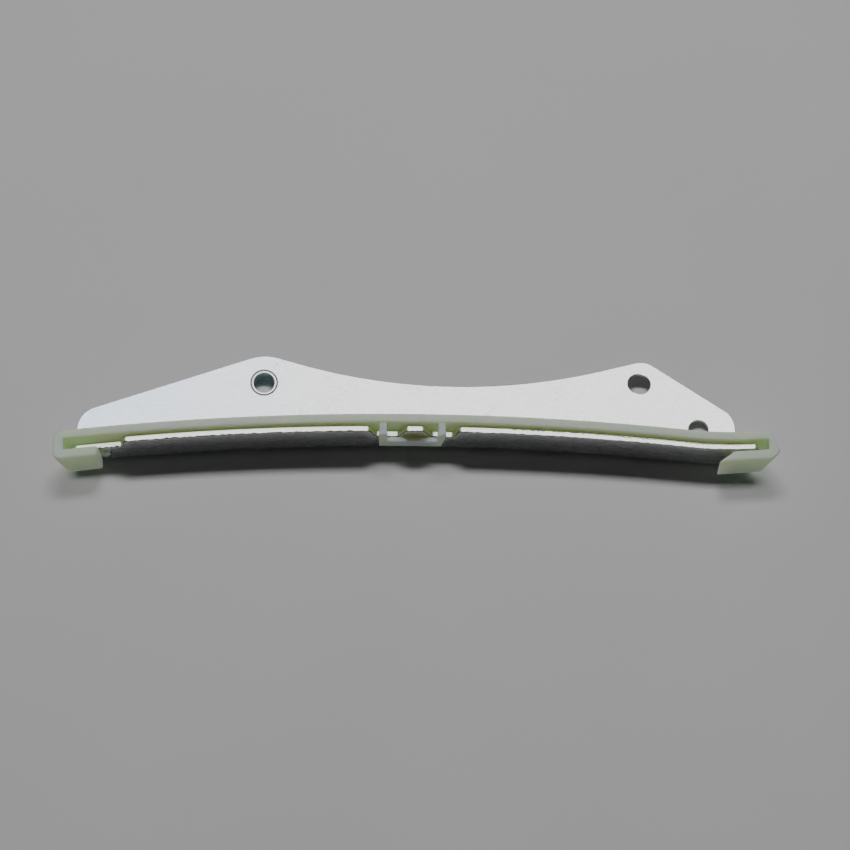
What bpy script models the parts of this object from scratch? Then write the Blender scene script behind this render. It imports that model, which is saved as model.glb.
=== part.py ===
"""Timing chain guide: a folded steel bracket, the nylon shoe clipped to it, and a pressed-in collar.

Metres, +Z up. The guide is drawn square to the bracket's web: X along the bow, Y across the web and Z
up from the web's underside. It is then tilted as it comes to rest, on the two ends of its fold and on
the collar, with the origin under the middle of its box.
"""
import math

import bmesh
import bpy
from mathutils import Matrix, Vector

MM = 0.001

# Steel sheet and its fold
SHEET = 2.0 * MM
FOLD_OUTER_RADIUS = 3.5 * MM
FLANGE_TOP = 17.0 * MM
STEEL_EDGE_ROUND = 0.3 * MM
FOLD_FACETS = 6

# Bow of the flange: one long arc, with a short reverse curl at the right end
BOW_RADIUS = 890.0 * MM
BOW_CROWN_X = -14.8 * MM
CURL_START_X = 83.0 * MM
CURL_RADIUS = 120.0 * MM
BOW_STEPS = 24
CURL_STEPS = 6

# Steel, seen square to the flange: its length along the top, and how far its foot stops short of that
STEEL_LEFT_X = -110.7 * MM
STEEL_LENGTH = 216.0 * MM
TIP_OVERHANG = 6.3 * MM
TAB_LENGTH = 15.7 * MM
TAB_DROP = 4.2 * MM
TAB_CORNER_RADIUS = 1.0 * MM
STEEL_RIGHT_TIP_X = STEEL_LEFT_X + STEEL_LENGTH
STEEL_RIGHT_FOOT_X = STEEL_RIGHT_TIP_X - TIP_OVERHANG

# Holes in the web
COLLAR_HOLE_X = -51.2 * MM
COLLAR_HOLE_Y = 21.7 * MM
SLOT_X = 68.1 * MM
SLOT_Y = 21.15 * MM
SLOT_WIDTH = 6.1 * MM
SLOT_LENGTH = 7.1 * MM
SLOT_SLANT = math.radians(-20.0)
BOLT_HOLE_X = 86.7 * MM
BOLT_HOLE_Y = 5.8 * MM
BOLT_HOLE_DIAMETER = 6.1 * MM
HOLE_FACETS = 40

# Corners of the web's far edge, measured from the hole that each one surrounds
LEFT_PEAK_RISE = 9.85 * MM
LEFT_PEAK_RADIUS = 15.0 * MM
RIGHT_PEAK_OUT = 1.7 * MM
RIGHT_PEAK_RISE = 7.7 * MM
RIGHT_PEAK_RADIUS = 4.5 * MM
LEFT_SHOULDER_Y = 11.8 * MM
LEFT_SHOULDER_RADIUS = 8.0 * MM
HOLLOW_X = 7.9 * MM
HOLLOW_Y = 13.7 * MM
HOLLOW_RADIUS = 184.0 * MM
RIGHT_SHOULDER_OUT = 10.95 * MM
RIGHT_SHOULDER_RISE = 4.45 * MM
RIGHT_SHOULDER_RADIUS = 7.0 * MM
WEB_END_LEAN = 0.6 * MM

# Nylon shoe
SHOE_CLEARANCE = 0.3 * MM
SHOE_THICKNESS = 2.85 * MM
SHOE_LIP = 2.5 * MM
SHOE_EDGE_ROUND = 0.4 * MM
LEFT_FRAME_PAST_STEEL = 6.4 * MM
RIGHT_FRAME_PAST_STEEL = 6.5 * MM
LEFT_END_WALL = 3.5 * MM
RIGHT_END_WALL = 3.7 * MM
FRAME_SET_BACK = 0.2 * MM
HOOK_GAP = 1.2 * MM
LEFT_HOOK_THICKNESS = 3.1 * MM
RIGHT_HOOK_THICKNESS = 3.7 * MM
HOOK_DEPTH = 13.2 * MM
HOOK_OUTER_LEAN = 3.8 * MM
HOOK_INNER_LEAN = 1.3 * MM
HOOK_EDGE_ROUND = 0.55 * MM
LEFT_HOOK_LENGTH = 14.0 * MM
RIGHT_HOOK_LENGTH = 14.8 * MM
RIGHT_HOOK_SLANT = 4.8 * MM
RIGHT_FRAME_TAPER = 2.6 * MM
FRAME_CORNER_RADIUS = 3.2 * MM
HOOK_CORNER_RADIUS = 2.2 * MM
RIGHT_HOOK_CHAMFER = 2.5 * MM

# Clip loop of the shoe, and the notch and tooth in the flange that it engages
CLIP_X = -3.9 * MM
CLIP_WIDTH = 21.2 * MM
CLIP_ARM = 2.7 * MM
CLIP_PLATE = 1.5 * MM
CLIP_BAR_TOP = 12.9 * MM
CLIP_BAR_BOTTOM = 8.1 * MM
CLIP_CORNER_CUT = 1.6 * MM
CLIP_EDGE_ROUND = 0.3 * MM
NOTCH_DEPTH = 5.1 * MM
NOTCH_LEFT_PLAY = 1.2 * MM
NOTCH_RIGHT_PLAY = 2.4 * MM
NOTCH_FLARE = 1.6 * MM
NOTCH_CORNER_RADIUS = 1.2 * MM
TOOTH_OFFSET = 0.8 * MM
TOOTH_TOP = 5.75 * MM
TOOTH_FOOT = 10.2 * MM

# Locating peg of the shoe
PEG_FROM_STEEL_END = 9.8 * MM
PEG_Z = 8.9 * MM
PEG_DIAMETER = 3.6 * MM
PEG_STAND_OUT = 1.0 * MM
PEG_FACETS = 24

# Locating collar
COLLAR_OUTER_DIAMETER = 8.1 * MM
COLLAR_BORE = 6.5 * MM
COLLAR_STAND_OUT = 3.0 * MM
COLLAR_CHAMFER = 0.2 * MM
COLLAR_CLEARANCE = 0.3 * MM
COLLAR_FACETS = 48

# Overrun of every cutter past what it cuts, and the widest sliver that a cut or a turning may leave
OVERRUN = 4.0 * MM
SLIVER = 0.1 * MM
SAME_POINT = SLIVER / 100
FLAT_WITHIN = math.radians(0.1)

# Facets of rounded outlines: a corner up to the small radius takes fewer of them
SMALL_RADIUS = 2.0 * MM
SMALL_RADIUS_STEP = math.radians(30.0)
LARGE_RADIUS_STEP = math.radians(12.0)
LONGEST_FACET = 5.0 * MM
FEWEST_STEPS = 3

# Edges that turn by more than this are rounded, in so many facets, and shading stays sharp past the next
ROUNDED_FROM = math.radians(35.0)
EDGE_ROUND_FACETS = 2
SHARP_FROM = math.radians(30.0)

MODEL_NAME = "timing_chain_guide"


def clear_scene():
    for thing in list(bpy.data.objects):
        bpy.data.objects.remove(thing, do_unlink=True)


def make_collection(name):
    collection = bpy.data.collections.new(name)
    bpy.context.scene.collection.children.link(collection)
    return collection


def make_material(name, colour, roughness, metallic):
    material = bpy.data.materials.new(name)
    material.use_nodes = True
    shader = material.node_tree.nodes["Principled BSDF"]
    shader.inputs["Base Color"].default_value = (*colour, 1.0)
    shader.inputs["Roughness"].default_value = roughness
    shader.inputs["Metallic"].default_value = metallic
    material.diffuse_color = (*colour, 1.0)
    return material


def bow_angle(x):
    """Angle of the flange's outward normal from +Y, where its near face passes x."""
    at_curl = math.asin((CURL_START_X - BOW_CROWN_X) / BOW_RADIUS)
    if x <= CURL_START_X:
        return math.asin((x - BOW_CROWN_X) / BOW_RADIUS)
    curl_centre_x = BOW_CROWN_X + (BOW_RADIUS + CURL_RADIUS) * math.sin(at_curl)
    return math.asin((curl_centre_x - x) / CURL_RADIUS)


def bow_centre():
    return Vector((BOW_CROWN_X, -BOW_RADIUS, 0.0))


def curl_centre():
    at_curl = bow_angle(CURL_START_X)
    reach = BOW_RADIUS + CURL_RADIUS
    return bow_centre() + reach * Vector((math.sin(at_curl), math.cos(at_curl), 0.0))


def bow_point(x, across):
    """Plan point at station x of the near face, moved square to the flange towards the web."""
    angle = bow_angle(x)
    normal = Vector((math.sin(angle), math.cos(angle), 0.0))
    if x <= CURL_START_X:
        point = bow_centre() + (BOW_RADIUS + across) * normal
    else:
        point = curl_centre() - (CURL_RADIUS - across) * normal
    return point.x, point.y


def new_object(name, mesh, collection, material=None):
    thing = bpy.data.objects.new(name, mesh)
    collection.objects.link(thing)
    if material is not None:
        mesh.materials.append(material)
    return thing


def finish_mesh(name, bm):
    """Turn the faces outwards and join those that lie in one plane."""
    bmesh.ops.recalc_face_normals(bm, faces=bm.faces)
    bmesh.ops.dissolve_limit(bm, angle_limit=FLAT_WITHIN, verts=bm.verts, edges=bm.edges)
    mesh = bpy.data.meshes.new(name)
    bm.to_mesh(mesh)
    bm.free()
    return mesh


def trim_end(bm, side, x, lean, lean_top):
    """Cut off what lies past x, on a plane that leans inwards below lean_top, and close the cut."""
    cut = bmesh.ops.bisect_plane(bm, geom=bm.verts[:] + bm.edges[:] + bm.faces[:], clear_outer=True,
                                 plane_co=(x, 0.0, lean_top), plane_no=(side, 0.0, -lean))
    rim = [item for item in cut["geom_cut"] if isinstance(item, bmesh.types.BMEdge)]
    bmesh.ops.edgeloop_fill(bm, edges=rim)


def sweep_along_bow(name, section, left_x, right_x, collection, lean=0.0, lean_top=0.0):
    """Turn a closed (across, height) section about the bow's centre, then about the curl's.

    Below lean_top the ends draw in towards each other, by lean metres for each metre of depth.
    """
    from_x = left_x - OVERRUN
    to_x = max(right_x, CURL_START_X) + OVERRUN
    bm = bmesh.new()
    corners = [bm.verts.new((*bow_point(from_x, across), height)) for across, height in section]
    start = bm.faces.new(corners)
    swept = bmesh.ops.spin(bm, geom=[start], cent=bow_centre(), axis=(0.0, 0.0, 1.0),
                           angle=bow_angle(from_x) - bow_angle(CURL_START_X), steps=BOW_STEPS)
    joint = [item for item in swept["geom_last"] if isinstance(item, bmesh.types.BMFace)]
    bmesh.ops.spin(bm, geom=joint, cent=curl_centre(), axis=(0.0, 0.0, 1.0),
                   angle=bow_angle(CURL_START_X) - bow_angle(to_x), steps=CURL_STEPS)
    bmesh.ops.delete(bm, geom=joint, context="FACES_ONLY")
    trim_end(bm, -1.0, left_x, lean, lean_top)
    trim_end(bm, 1.0, right_x, lean, lean_top)
    return new_object(name, finish_mesh(name, bm), collection)


def rounded_outline(corners):
    """Points round a closed outline whose (x, y, radius) corners are filleted by arcs."""
    points = []
    for index, (x, y, radius) in enumerate(corners):
        here = Vector((x, y))
        before = (Vector(corners[index - 1][:2]) - here).normalized()
        after = (Vector(corners[(index + 1) % len(corners)][:2]) - here).normalized()
        half_corner = before.angle(after) / 2
        if radius == 0.0:
            points.append(here)
            continue
        centre = here + (before + after).normalized() * radius / math.sin(half_corner)
        first = here + before * radius / math.tan(half_corner) - centre
        turn = first.angle_signed(here + after * radius / math.tan(half_corner) - centre)
        widest = LARGE_RADIUS_STEP if radius > SMALL_RADIUS else SMALL_RADIUS_STEP
        by_angle = math.ceil(abs(turn) / widest)
        by_length = math.ceil(radius * abs(turn) / LONGEST_FACET)
        steps = max(FEWEST_STEPS, by_angle, by_length)
        for step in range(steps + 1):
            swing = Matrix.Rotation(-turn * step / steps, 2)
            points.append(centre + swing @ first)
    return points


def extruded_outline(name, points, low, high, collection, along="Z"):
    """Flat outline as a filled 2D curve, made a mesh. Along Y, its points are (x, z)."""
    curve = bpy.data.curves.new(name, "CURVE")
    curve.dimensions = "2D"
    curve.fill_mode = "BOTH"
    curve.extrude = (high - low) / 2
    spline = curve.splines.new("POLY")
    spline.points.add(len(points) - 1)
    for point, (x, y) in zip(spline.points, points):
        point.co = (x, y, 0.0, 1.0)
    spline.use_cyclic_u = True
    drawn = bpy.data.objects.new(name + "_curve", curve)
    collection.objects.link(drawn)
    mesh = bpy.data.meshes.new_from_object(drawn.evaluated_get(bpy.context.evaluated_depsgraph_get()))
    bpy.data.objects.remove(drawn, do_unlink=True)
    bm = bmesh.new()
    bm.from_mesh(mesh)
    bpy.data.meshes.remove(mesh)
    bmesh.ops.remove_doubles(bm, verts=bm.verts, dist=SAME_POINT)
    middle = (low + high) / 2
    placed = Matrix.Translation((0.0, 0.0, middle))
    if along == "Y":
        placed = Matrix.Translation((0.0, middle, 0.0)) @ Matrix.Rotation(math.pi / 2, 4, "X")
    bmesh.ops.transform(bm, matrix=placed, verts=bm.verts)
    return new_object(name, finish_mesh(name, bm), collection)


def combine(target, tool, operation):
    """Boolean step on the target with a tool that isn't rendered."""
    step = target.modifiers.new(tool.name, "BOOLEAN")
    step.operation = operation
    step.solver = "EXACT"
    step.object = tool
    tool.hide_render = True
    tool.display_type = "WIRE"


def round_edges(thing, width):
    """Small rounding on every sharp edge, as stamping or a mould leaves it."""
    bevel = thing.modifiers.new("edge_round", "BEVEL")
    bevel.width = width
    bevel.segments = EDGE_ROUND_FACETS
    bevel.limit_method = "ANGLE"
    bevel.angle_limit = ROUNDED_FROM
    bevel.use_clamp_overlap = False
    bevel.loop_slide = False


def merge_flats(thing):
    """Close the slivers that cuts leave, and join the faces that lie in one plane."""
    weld = thing.modifiers.new("weld_slivers", "WELD")
    weld.merge_threshold = SLIVER
    flat = thing.modifiers.new("merge_flats", "DECIMATE")
    flat.decimate_type = "DISSOLVE"
    flat.angle_limit = FLAT_WITHIN
    flat.use_dissolve_boundaries = False


def cylinder(name, diameter, length, centre, axis, facets, collection):
    bm = bmesh.new()
    bmesh.ops.create_cone(bm, cap_ends=True, segments=facets, radius1=diameter / 2,
                          radius2=diameter / 2, depth=length)
    turned = Vector(axis).to_track_quat("Z", "Y").to_matrix().to_4x4()
    bmesh.ops.transform(bm, matrix=Matrix.Translation(centre) @ turned, verts=bm.verts)
    return new_object(name, finish_mesh(name, bm), collection)


def angle_section():
    """Section of the folded sheet: web, round fold and flange, as (across, height)."""
    web_reach = COLLAR_HOLE_Y + LEFT_PEAK_RISE + 3 * OVERRUN
    outside = []
    inside = []
    for step in range(FOLD_FACETS + 1):
        swing = math.pi / 2 * step / FOLD_FACETS
        towards_flange = Vector((-math.sin(swing), -math.cos(swing)))
        fold_centre = Vector((FOLD_OUTER_RADIUS, FOLD_OUTER_RADIUS))
        outside.append(fold_centre + FOLD_OUTER_RADIUS * towards_flange)
        inside.append(fold_centre + (FOLD_OUTER_RADIUS - SHEET) * towards_flange)
    flange_end = [(0.0, FLANGE_TOP), (SHEET, FLANGE_TOP)]
    return [(web_reach, 0.0)] + outside + flange_end + inside[::-1] + [(web_reach, SHEET)]


def flange_outline():
    """The sheet seen square to the flange, as (x, z, radius): tab, notch with tooth, and cut ends."""
    below = -OVERRUN
    tab_top = FLANGE_TOP - TAB_DROP
    tab_end = STEEL_LEFT_X + TAB_LENGTH
    floor = FLANGE_TOP - NOTCH_DEPTH
    notch_left = CLIP_X - CLIP_WIDTH / 2 - NOTCH_LEFT_PLAY
    notch_right = CLIP_X + CLIP_WIDTH / 2 + NOTCH_RIGHT_PLAY
    tooth_x = CLIP_X + TOOTH_OFFSET
    soft = NOTCH_CORNER_RADIUS
    return [
        (STEEL_LEFT_X, below, 0.0),
        (STEEL_LEFT_X, tab_top, TAB_CORNER_RADIUS),
        (tab_end, tab_top, TAB_CORNER_RADIUS),
        (tab_end, FLANGE_TOP, TAB_CORNER_RADIUS),
        (notch_left - NOTCH_FLARE, FLANGE_TOP, soft),
        (notch_left, floor, soft),
        (tooth_x - TOOTH_FOOT / 2, floor, soft),
        (tooth_x - TOOTH_TOP / 2, FLANGE_TOP, soft),
        (tooth_x + TOOTH_TOP / 2, FLANGE_TOP, soft),
        (tooth_x + TOOTH_FOOT / 2, floor, soft),
        (notch_right, floor, soft),
        (notch_right + NOTCH_FLARE, FLANGE_TOP, soft),
        (STEEL_RIGHT_TIP_X, FLANGE_TOP, soft),
        (STEEL_RIGHT_FOOT_X, FOLD_OUTER_RADIUS, 0.0),
        (STEEL_RIGHT_FOOT_X, below, 0.0),
    ]


def web_outline():
    """Plan of the web's cut edge, as (x, y, radius). It is open past the fold, towards the flange."""
    near = bow_point(STEEL_LEFT_X, 0.0)[1] - 2 * OVERRUN
    past_fold = 2 * OVERRUN
    left_fold_y = bow_point(STEEL_LEFT_X, FOLD_OUTER_RADIUS)[1]
    right_fold_y = bow_point(STEEL_RIGHT_FOOT_X, FOLD_OUTER_RADIUS)[1]
    return [
        (STEEL_LEFT_X - past_fold, near, 0.0),
        (STEEL_LEFT_X - past_fold, left_fold_y, 0.0),
        (STEEL_LEFT_X - WEB_END_LEAN, left_fold_y, 0.0),
        (STEEL_LEFT_X + WEB_END_LEAN, LEFT_SHOULDER_Y, LEFT_SHOULDER_RADIUS),
        (COLLAR_HOLE_X, COLLAR_HOLE_Y + LEFT_PEAK_RISE, LEFT_PEAK_RADIUS),
        (HOLLOW_X, HOLLOW_Y, HOLLOW_RADIUS),
        (SLOT_X + RIGHT_PEAK_OUT, SLOT_Y + RIGHT_PEAK_RISE, RIGHT_PEAK_RADIUS),
        (BOLT_HOLE_X + RIGHT_SHOULDER_OUT, BOLT_HOLE_Y + RIGHT_SHOULDER_RISE, RIGHT_SHOULDER_RADIUS),
        (STEEL_RIGHT_FOOT_X + WEB_END_LEAN, right_fold_y, 0.0),
        (STEEL_RIGHT_FOOT_X + past_fold, right_fold_y, 0.0),
        (STEEL_RIGHT_FOOT_X + past_fold, near, 0.0),
    ]


def slot_cutter(cutters):
    """Slot with round ends, slanted in the plane of the web."""
    half = (SLOT_LENGTH - SLOT_WIDTH) / 2
    points = []
    for index in range(HOLE_FACETS):
        swing = 2 * math.pi * (index + 0.5) / HOLE_FACETS
        round_end = SLOT_WIDTH / 2 * Vector((math.cos(swing), math.sin(swing)))
        points.append(round_end + Vector((math.copysign(half, round_end.x), 0.0)))
    slanted = Matrix.Rotation(SLOT_SLANT, 2)
    centre = Vector((SLOT_X, SLOT_Y))
    return extruded_outline("slot_cut", [centre + slanted @ point for point in points],
                            -OVERRUN, SHEET + OVERRUN, cutters)


def peg_axis():
    """Middle of the flange's thickness at the peg, and the direction of the peg towards the web."""
    x = STEEL_LEFT_X + PEG_FROM_STEEL_END
    angle = bow_angle(x)
    return (*bow_point(x, SHEET / 2), PEG_Z), (math.sin(angle), math.cos(angle), 0.0)


def make_bracket(parts, cutters, zinc):
    right_limit = max(STEEL_RIGHT_TIP_X, BOLT_HOLE_X + RIGHT_SHOULDER_OUT) + OVERRUN / 2
    bracket = sweep_along_bow("steel_bracket", angle_section(), STEEL_LEFT_X - OVERRUN / 2,
                              right_limit, parts)
    bracket.data.materials.append(zinc)
    deep = COLLAR_HOLE_Y + LEFT_PEAK_RISE + 4 * OVERRUN
    near = bow_point(STEEL_LEFT_X, 0.0)[1] - 2 * OVERRUN
    side = extruded_outline("flange_blank", rounded_outline(flange_outline()), near, deep, cutters, "Y")
    combine(bracket, side, "INTERSECT")
    plan = extruded_outline("web_blank", rounded_outline(web_outline()), -OVERRUN,
                            FLANGE_TOP + OVERRUN, cutters)
    combine(bracket, plan, "INTERSECT")
    through = 2 * OVERRUN + SHEET
    collar_seat = COLLAR_OUTER_DIAMETER + 2 * COLLAR_CLEARANCE
    combine(bracket, cylinder("collar_hole_cut", collar_seat, through,
                              (COLLAR_HOLE_X, COLLAR_HOLE_Y, SHEET / 2), (0, 0, 1), COLLAR_FACETS, cutters),
            "DIFFERENCE")
    combine(bracket, slot_cutter(cutters), "DIFFERENCE")
    combine(bracket, cylinder("bolt_hole_cut", BOLT_HOLE_DIAMETER, through,
                              (BOLT_HOLE_X, BOLT_HOLE_Y, SHEET / 2), (0, 0, 1), HOLE_FACETS, cutters),
            "DIFFERENCE")
    centre, direction = peg_axis()
    combine(bracket, cylinder("peg_hole_cut", PEG_DIAMETER + 2 * SHOE_CLEARANCE, through,
                              centre, direction, PEG_FACETS, cutters), "DIFFERENCE")
    merge_flats(bracket)
    round_edges(bracket, STEEL_EDGE_ROUND)
    return bracket


def leaning_block(name, outline, low, high, outer_x, inner_x, collection):
    """Block whose foot is drawn in along X, by HOOK_OUTER_LEAN at outer_x and HOOK_INNER_LEAN at inner_x."""
    block = extruded_outline(name, rounded_outline(outline), low, high, collection)
    inward = math.copysign(1.0, inner_x - outer_x)
    for corner in block.data.vertices:
        share = (inner_x - corner.co.x) / (inner_x - outer_x)
        drawn_in = HOOK_INNER_LEAN + (HOOK_OUTER_LEAN - HOOK_INNER_LEAN) * share
        corner.co.x += inward * drawn_in * (high - corner.co.z) / (high - low)
    round_edges(block, HOOK_EDGE_ROUND)
    return block


def make_shoe(parts, cutters, nylon):
    top = FLANGE_TOP + SHOE_LIP
    back = SHEET + SHOE_CLEARANCE
    face = back + SHOE_THICKNESS
    foot = SHEET + SHOE_CLEARANCE
    left_x = STEEL_LEFT_X - LEFT_FRAME_PAST_STEEL
    right_x = STEEL_RIGHT_TIP_X + RIGHT_FRAME_PAST_STEEL
    left_near = -(HOOK_GAP + LEFT_HOOK_THICKNESS)
    right_near = -(HOOK_GAP + RIGHT_HOOK_THICKNESS)
    frame_face = face - FRAME_SET_BACK
    frame_top = top - FRAME_SET_BACK
    frame_foot = frame_top - HOOK_DEPTH

    # The strip starts inside the flange's thickness, and the pocket cut sets its real back
    strip = rounded_outline([
        (SHEET / 2, foot, 0.0), (face, foot, SHOE_EDGE_ROUND),
        (face, top, SHOE_EDGE_ROUND), (SHEET / 2, top, 0.0),
    ])
    right_far = right_x - RIGHT_FRAME_TAPER
    strip_left = left_x + FRAME_CORNER_RADIUS - FRAME_SET_BACK
    strip_right = right_far - HOOK_CORNER_RADIUS + FRAME_SET_BACK
    shoe = sweep_along_bow("nylon_shoe", strip, strip_left, strip_right, parts,
                           HOOK_OUTER_LEAN / HOOK_DEPTH, top)
    shoe.data.materials.append(nylon)

    left_inner = left_x + LEFT_HOOK_LENGTH
    left_frame = [
        (left_x, bow_point(left_x, frame_face)[1], FRAME_CORNER_RADIUS),
        (*bow_point(left_inner, frame_face), 0.0),
        (*bow_point(left_inner, left_near), 0.0),
        (left_x, bow_point(left_x, left_near)[1], HOOK_CORNER_RADIUS),
    ]
    combine(shoe, leaning_block("left_frame", left_frame, frame_foot, frame_top, left_x, left_inner,
                                cutters), "UNION")

    right_inner = right_x - RIGHT_HOOK_LENGTH
    right_near_y = bow_point(right_x, right_near)[1]
    right_frame = [
        (*bow_point(right_inner, frame_face), 0.0),
        (right_far, bow_point(right_far, frame_face)[1], HOOK_CORNER_RADIUS),
        (right_x, right_near_y + RIGHT_HOOK_CHAMFER, 0.0),
        (right_x - RIGHT_HOOK_CHAMFER, right_near_y, 0.0),
        (*bow_point(right_inner - RIGHT_HOOK_SLANT, right_near), 0.0),
        (*bow_point(right_inner, -HOOK_GAP), 0.0),
    ]
    combine(shoe, leaning_block("right_frame", right_frame, frame_foot, frame_top, right_x, right_inner,
                                cutters), "UNION")

    # Pocket for the flange, with room for the inside of the fold
    fold_room = FOLD_OUTER_RADIUS + SHOE_CLEARANCE
    fold_low = foot - 2 * SHOE_CLEARANCE
    pocket = [
        (-HOOK_GAP, top + OVERRUN),
        (-HOOK_GAP, -OVERRUN),
        (back + fold_room - fold_low, -OVERRUN),
        (back + fold_room - fold_low, fold_low),
        (back, fold_room),
        (back, top + OVERRUN),
    ]
    pocket_cut = sweep_along_bow("pocket_cut", pocket, left_x + LEFT_END_WALL, right_x - RIGHT_END_WALL,
                                 cutters, HOOK_INNER_LEAN / HOOK_DEPTH, top)
    combine(shoe, pocket_cut, "DIFFERENCE")
    add_clip(shoe, cutters, frame_top)
    add_peg(shoe, cutters, back + SHOE_THICKNESS / 2)
    merge_flats(shoe)
    return shoe


def add_clip(shoe, cutters, clip_top):
    """Loop on the near side of the flange, on two arms that cross the notch beside the tooth."""
    half = CLIP_WIDTH / 2
    plate_outline = [
        (-half, clip_top), (-half, CLIP_BAR_BOTTOM), (half - CLIP_CORNER_CUT, CLIP_BAR_BOTTOM),
        (half, CLIP_BAR_TOP), (half, clip_top), (half - CLIP_ARM, clip_top),
        (half - CLIP_ARM, CLIP_BAR_TOP), (CLIP_ARM - half, CLIP_BAR_TOP), (CLIP_ARM - half, clip_top),
    ]
    angle = bow_angle(CLIP_X)
    x, y = bow_point(CLIP_X, 0.0)
    seated = Matrix.Translation((x, y, 0.0)) @ Matrix.Rotation(-angle, 4, "Z")
    near = -(SHOE_CLEARANCE + CLIP_PLATE)
    plate = extruded_outline("clip_plate", plate_outline, near, -SHOE_CLEARANCE, cutters, "Y")
    plate.data.transform(seated)
    round_edges(plate, CLIP_EDGE_ROUND)
    combine(shoe, plate, "UNION")
    arm_foot = FLANGE_TOP - NOTCH_DEPTH + 2 * SHOE_CLEARANCE
    arm_top = clip_top - FRAME_SET_BACK
    arm_side = CLIP_ARM - 2 * FRAME_SET_BACK
    arm_end = SHEET + SHOE_CLEARANCE + SHOE_THICKNESS / 2
    for side, name in ((-1, "clip_arm_left"), (1, "clip_arm_right")):
        middle = side * (half - CLIP_ARM / 2)
        outline = [(middle - arm_side / 2, arm_foot), (middle + arm_side / 2, arm_foot),
                   (middle + arm_side / 2, arm_top), (middle - arm_side / 2, arm_top)]
        arm = extruded_outline(name, outline, near / 2, arm_end, cutters, "Y")
        arm.data.transform(seated)
        combine(shoe, arm, "UNION")


def add_peg(shoe, cutters, root):
    """Round peg from inside the strip, through the flange, to just past its near face."""
    centre, direction = peg_axis()
    length = root + PEG_STAND_OUT
    middle = Vector(centre) + Vector(direction) * ((root - PEG_STAND_OUT) / 2 - SHEET / 2)
    peg = cylinder("peg", PEG_DIAMETER, length, middle, direction, PEG_FACETS, cutters)
    round_edges(peg, SHOE_EDGE_ROUND)
    combine(shoe, peg, "UNION")


def make_collar(parts, steel):
    """Turned sleeve with chamfered rims, as a profile spun about its axis."""
    outer = COLLAR_OUTER_DIAMETER / 2
    bore = COLLAR_BORE / 2
    low = -COLLAR_STAND_OUT
    cut = COLLAR_CHAMFER
    profile = [
        (outer - cut, SHEET), (outer, SHEET - cut), (outer, low + cut), (outer - cut, low),
        (bore + cut, low), (bore, low + cut), (bore, SHEET - cut), (bore + cut, SHEET),
    ]
    bm = bmesh.new()
    verts = [bm.verts.new((radius, 0.0, height)) for radius, height in profile]
    for index, vert in enumerate(verts):
        bm.edges.new((vert, verts[(index + 1) % len(verts)]))
    mesh = bpy.data.meshes.new("locating_collar")
    bm.to_mesh(mesh)
    bm.free()
    collar = new_object("locating_collar", mesh, parts, steel)
    screw = collar.modifiers.new("turned", "SCREW")
    screw.steps = COLLAR_FACETS
    screw.render_steps = COLLAR_FACETS
    screw.use_merge_vertices = True
    screw.merge_threshold = SLIVER
    screw.use_smooth_shade = True
    collar.location = (COLLAR_HOLE_X, COLLAR_HOLE_Y, 0.0)
    return collar


def resting_turn():
    """Turn that levels the floor, which touches both ends of the fold and the collar's near rim."""
    left = Vector((*bow_point(STEEL_LEFT_X, FOLD_OUTER_RADIUS), FOLD_OUTER_RADIUS))
    right = Vector((*bow_point(STEEL_RIGHT_FOOT_X, FOLD_OUTER_RADIUS), FOLD_OUTER_RADIUS))
    rim_y = COLLAR_HOLE_Y - COLLAR_OUTER_DIAMETER / 2 + COLLAR_CHAMFER
    rim = Vector((COLLAR_HOLE_X, rim_y, -COLLAR_STAND_OUT))
    along = (right - left).normalized()
    to_rim = (rim - left) - (rim - left).dot(along) * along
    swing = math.acos(FOLD_OUTER_RADIUS / to_rim.length)
    floor_normal = Matrix.Rotation(swing, 3, along) @ -to_rim.normalized()
    if floor_normal.z < 0:
        floor_normal = Matrix.Rotation(-swing, 3, along) @ -to_rim.normalized()
    return floor_normal.rotation_difference(Vector((0.0, 0.0, 1.0)))


def lay_on_floor(frame, things):
    """Tilt the whole guide, then put the middle of its footprint at the origin, on the floor."""
    frame.rotation_mode = "QUATERNION"
    frame.rotation_quaternion = resting_turn()
    bpy.context.view_layer.update()
    depsgraph = bpy.context.evaluated_depsgraph_get()
    corners = []
    for thing in things:
        seen = thing.evaluated_get(depsgraph)
        corners += [seen.matrix_world @ vert.co for vert in seen.data.vertices]
    low = [min(corner[axis] for corner in corners) for axis in range(3)]
    high = [max(corner[axis] for corner in corners) for axis in range(3)]
    frame.location = (-(low[0] + high[0]) / 2, -(low[1] + high[1]) / 2, -low[2])


def main():
    clear_scene()
    parts = make_collection(MODEL_NAME)
    cutters = make_collection("cutters")
    zinc = make_material("zinc_plated_steel", (0.78, 0.79, 0.80), 0.28, 1.0)
    nylon = make_material("natural_nylon", (0.60, 0.63, 0.50), 0.45, 0.0)
    sleeve = make_material("turned_steel", (0.62, 0.62, 0.62), 0.35, 1.0)
    things = [
        make_bracket(parts, cutters, zinc),
        make_shoe(parts, cutters, nylon),
        make_collar(parts, sleeve),
    ]
    frame = bpy.data.objects.new("web_frame", None)
    parts.objects.link(frame)
    for thing in things + list(cutters.objects):
        thing.parent = frame
    lay_on_floor(frame, things)
    for thing in things:
        thing.data.shade_smooth()
        thing.data.set_sharp_from_angle(angle=SHARP_FROM)


main()
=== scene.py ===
"""Looks of the timing chain guide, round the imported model: camera, floor and light, then each piece."""
import math

import bmesh
import bpy
from mathutils import Euler, Matrix, Vector


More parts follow.
